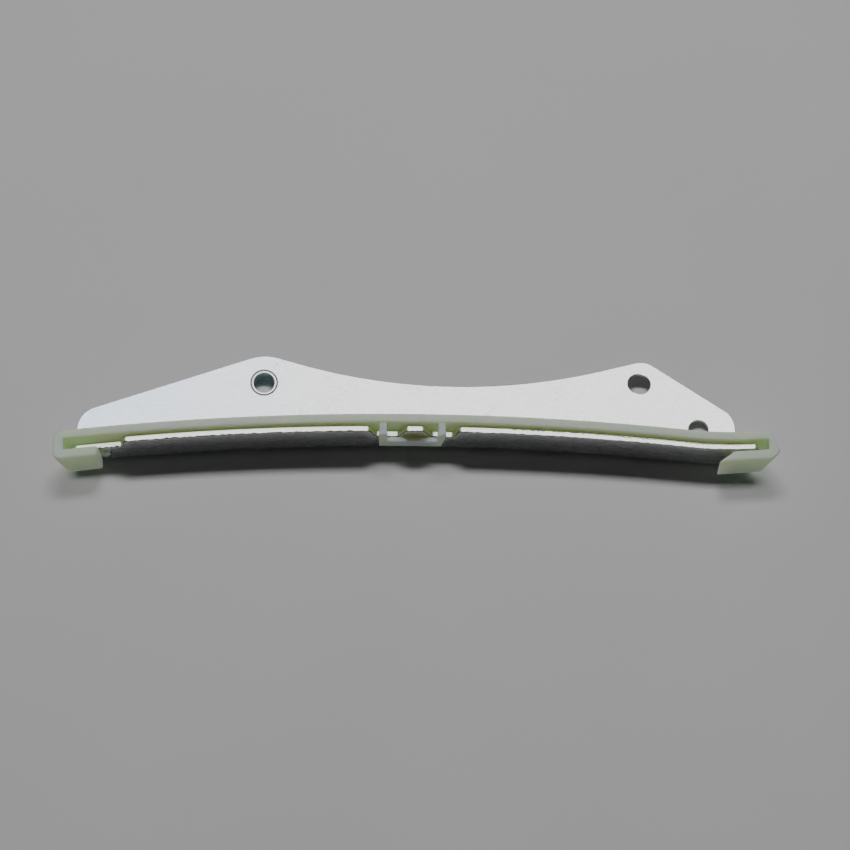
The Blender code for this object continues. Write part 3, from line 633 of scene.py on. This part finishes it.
right_far_x = SHOE_RIGHT_X - RIGHT_FRAME_TAPER
strip = rounded([(SHEET / 2, SHOE_BACK, 0.0), (SHOE_FACE, SHOE_BACK, STRIP_ROUNDING),
                 (SHOE_FACE, SHOE_TOP, STRIP_ROUNDING), (SHEET / 2, SHOE_TOP, 0.0)])
shoe = sweep("shoe", strip, SHOE_LEFT_X + FRAME_CORNER - SET_BACK, right_far_x - HOOK_CORNER + SET_BACK,
             OUTER_LEAN / HOOK_DEPTH, SHOE_TOP)
left_inner_x = SHOE_LEFT_X + LEFT_HOOK_LENGTH
left_frame = [
    (SHOE_LEFT_X, bow_point(SHOE_LEFT_X, FRAME_FACE)[1], FRAME_CORNER),
    (*bow_point(left_inner_x, FRAME_FACE), 0.0),
    (*bow_point(left_inner_x, LEFT_HOOK_NEAR), 0.0),
    (SHOE_LEFT_X, bow_point(SHOE_LEFT_X, LEFT_HOOK_NEAR)[1], HOOK_CORNER),
]
combine(shoe, leaning_block("left_frame", left_frame, FRAME_TOP - HOOK_DEPTH, FRAME_TOP, SHOE_LEFT_X,
                            left_inner_x), "UNION")
right_inner_x = SHOE_RIGHT_X - RIGHT_HOOK_LENGTH
right_near_y = bow_point(SHOE_RIGHT_X, RIGHT_HOOK_NEAR)[1]
right_frame = [
    (*bow_point(right_inner_x, FRAME_FACE), 0.0),
    (right_far_x, bow_point(right_far_x, FRAME_FACE)[1], HOOK_CORNER),
    (SHOE_RIGHT_X, right_near_y + RIGHT_HOOK_CHAMFER, 0.0),
    (SHOE_RIGHT_X - RIGHT_HOOK_CHAMFER, right_near_y, 0.0),
    (*bow_point(right_inner_x - RIGHT_HOOK_SLANT, RIGHT_HOOK_NEAR), 0.0),
    (*bow_point(right_inner_x, -HOOK_GAP), 0.0),
]
combine(shoe, leaning_block("right_frame", right_frame, FRAME_TOP - HOOK_DEPTH, FRAME_TOP, SHOE_RIGHT_X,
                            right_inner_x), "UNION")

# Pocket for the flange and the inside of its fold, with a rounded lip on top
fold_room = FOLD_RADIUS + CLEARANCE
fold_low = SHOE_BACK - 2 * CLEARANCE
pocket = [
    (-HOOK_GAP, SHOE_TOP + OVERRUN, 0.0), (-HOOK_GAP, -OVERRUN, 0.0),
    (SHOE_BACK + fold_room - fold_low, -OVERRUN, 0.0),
    (SHOE_BACK + fold_room - fold_low, fold_low, 0.0), (SHOE_BACK, fold_room, 0.0),
    (SHOE_BACK, SHOE_TOP, LIP_RADIUS), (SHOE_BACK + LIP_RADIUS, SHOE_TOP, 0.0),
    (SHOE_BACK + LIP_RADIUS, SHOE_TOP + OVERRUN, 0.0),
]
combine(shoe, sweep("pocket", rounded(pocket), SHOE_LEFT_X + LEFT_END_WALL,
                    SHOE_RIGHT_X - RIGHT_END_WALL, INNER_LEAN / HOOK_DEPTH, SHOE_TOP), "DIFFERENCE")

# Clip loop: a thin plate on the near side of the flange, with two arms through the notch
bar_end = CLIP_HALF - CLIP_ARM
clip_outline = [
    (-CLIP_HALF, FRAME_TOP), (-CLIP_HALF, CLIP_BAR_BOTTOM),
    (CLIP_HALF - CLIP_CORNER_CUT, CLIP_BAR_BOTTOM), (CLIP_HALF, CLIP_CORNER_TOP), (CLIP_HALF, FRAME_TOP),
    (bar_end, FRAME_TOP), (bar_end, CLIP_BAR_TOP), (-bar_end, CLIP_BAR_TOP), (-bar_end, FRAME_TOP),
]
clip_turn = Matrix.Rotation(-bow_angle(CLIP_X), 4, "Z")
clip_seat = Matrix.Translation((*bow_point(CLIP_X, 0.0), 0.0)) @ clip_turn
clip_plate = plate("clip_plate", clip_outline, CLIP_NEAR, -CLEARANCE, along="Y")
clip_plate.data.transform(clip_seat)
round_edges(clip_plate, EDGE_ROUNDING)
combine(shoe, clip_plate, "UNION")
for side in (-1, 1):
    middle = side * (CLIP_HALF - CLIP_ARM / 2)
    half = CLIP_ARM / 2 - SET_BACK
    arm_foot = NOTCH_FLOOR + 2 * CLEARANCE
    arm_outline = [(middle - half, arm_foot), (middle + half, arm_foot),
                   (middle + half, FRAME_TOP - SET_BACK), (middle - half, FRAME_TOP - SET_BACK)]
    arm = plate("clip_arm", arm_outline, CLIP_NEAR / 2, (SHOE_BACK + SHOE_FACE) / 2, along="Y")
    arm.data.transform(clip_seat)
    combine(shoe, arm, "UNION")

# Peg, from inside the strip to past the near face, and the marks that the ejector pins left on top
peg_far = (SHOE_BACK + SHOE_FACE) / 2
peg_middle = peg_root + bow_normal(PEG_X) * ((peg_far - PEG_PAST) / 2 - SHEET / 2)
peg = pin("peg", PEG_DIAMETER - PEG_PLAY, peg_far + PEG_PAST, peg_middle, bow_normal(PEG_X))
round_edges(peg, PEG_ROUNDING)
combine(shoe, peg, "UNION")
for x in EJECTOR_MARKS_X:
    mark_centre = (*bow_point(x, (SHOE_BACK + SHOE_FACE) / 2), SHOE_TOP)
    combine(shoe, pin("ejector_mark", EJECTOR_MARK, 2 * EJECTOR_MARK_DEPTH, mark_centre), "DIFFERENCE")
clean(shoe)

nylon, tree, shader = new_material("natural_nylon")
places = add_node(tree, "TexCoord").outputs["Object"]
moulded = use_group(tree, grain, Place=places, Stretch=(0.4, 1.0, 1.0), Fineness=1500.0,
                    Patch_Fineness=75.0)
rubbed = use_group(tree, scuffs, Place=places, Fineness=220.0, Rarity=0.58)["Mask"]
nylon_tone = mix_colours(tree, remap(tree, moulded["Patch"], 0.3, 0.7), (0.69, 0.96, 0.68),
                         (0.75, 0.97, 0.70))
nylon_tone = mix_colours(tree, rubbed, nylon_tone, (0.80, 0.9, 0.76))
nylon_bump = add_node(tree, "Bump", Height=moulded["Height"], Strength=0.2, Distance=0.05 * MM)
set_inputs(tree, shader, {"Base Color": nylon_tone, "Normal": nylon_bump.outputs["Normal"],
                          "Roughness": remap(tree, moulded["Height"], 0.3, 0.7, 0.42, 0.55),
                          "Specular IOR Level": 0.35, "Subsurface Weight": 1.0,
                          "Subsurface Radius": (1.35, 1.25, 0.35), "Subsurface Scale": 6.0 * MM})
shoe.data.materials.append(nylon)
seat(shoe, "nylon_shoe")
not_blocking = bpy.data.collections.new("lets_light_through")
not_blocking.objects.link(shoe)
key_through.light_linking.blocker_collection = not_blocking
panel_through.light_linking.blocker_collection = not_blocking
not_blocking.collection_objects[0].light_linking.link_state = "EXCLUDE"


# Locating collar
# A turned steel sleeve, pressed into the web so that it is flush on top and stands out below, where it
# centres the guide in the engine block. The bolt goes through its bore.
COLLAR_BORE = 6.5
COLLAR_LOW = -2.99
RIM_RADIUS = 0.2
COLLAR_FACETS = 96

profile = rounded([
    (COLLAR_DIAMETER / 2, SHEET, RIM_RADIUS), (COLLAR_DIAMETER / 2, COLLAR_LOW, RIM_RADIUS),
    (COLLAR_BORE / 2, COLLAR_LOW, RIM_RADIUS), (COLLAR_BORE / 2, SHEET, RIM_RADIUS),
])
bm = bmesh.new()
ring = [bm.verts.new((radius, 0.0, height)) for radius, height in profile]
seam = [bm.edges.new((vert, ring[(index + 1) % len(ring)])) for index, vert in enumerate(ring)]
bmesh.ops.spin(bm, geom=ring + seam, cent=(0.0, 0.0, 0.0), axis=(0.0, 0.0, 1.0), angle=2 * math.pi,
               steps=COLLAR_FACETS, use_merge=True)
bmesh.ops.remove_doubles(bm, verts=bm.verts, dist=0.001)
collar = new_solid("collar", bm)

turned, tree, shader = new_material("turned_steel")
collar_place = RESTING_PLACE + RESTING_TURN.to_matrix() @ (COLLAR_CENTRE.to_3d() * MM)
places = add_node(tree, "TexCoord").outputs["Object"]
places = add_node(tree, "Mapping", {"vector_type": "TEXTURE"}, Vector=places, Location=collar_place,
                  Rotation=RESTING_TURN).outputs["Vector"]
radial = add_node(tree, "VectorMath", {"operation": "LENGTH"})
tree.links.new(vector_math(tree, "MULTIPLY", places, (1.0, 1.0, 0.0)), radial.inputs[0])
height = add_node(tree, "SeparateXYZ", Vector=places).outputs["Z"]
round_place = add_node(tree, "CombineXYZ", None, X=radial.outputs["Value"], Z=height).outputs["Vector"]
grooves = use_group(tree, grain, Place=round_place, Stretch=(1.0, 1.0, 1.0), Fineness=5200.0,
                    Patch_Fineness=500.0)
# Painted reflection: the bore is tinted teal for what its wall mirrors.
bore_reflection_tint = remap(tree, radial.outputs["Value"], 3.3 * MM, 3.45 * MM, 1.0, 0.0)
turned_tone_and_bore_reflection = mix_colours(tree, grooves["Height"], (0.74, 0.79, 0.80), (0.84, 0.88, 0.88))
turned_tone_and_bore_reflection = mix_colours(tree, bore_reflection_tint, turned_tone_and_bore_reflection, (0.6, 0.79, 0.81))
groove_bump = add_node(tree, "Bump", Height=grooves["Height"], Strength=0.3, Distance=0.02 * MM)
set_inputs(tree, shader, {"Base Color": turned_tone_and_bore_reflection, "Metallic": 1.0,
                          "Normal": groove_bump.outputs["Normal"],
                          "Roughness": remap(tree, grooves["Height"], 0.3, 0.7, 0.26, 0.4)})
collar.data.materials.append(turned)
seat(collar, "locating_collar", centre=(*COLLAR_CENTRE, 0.0))
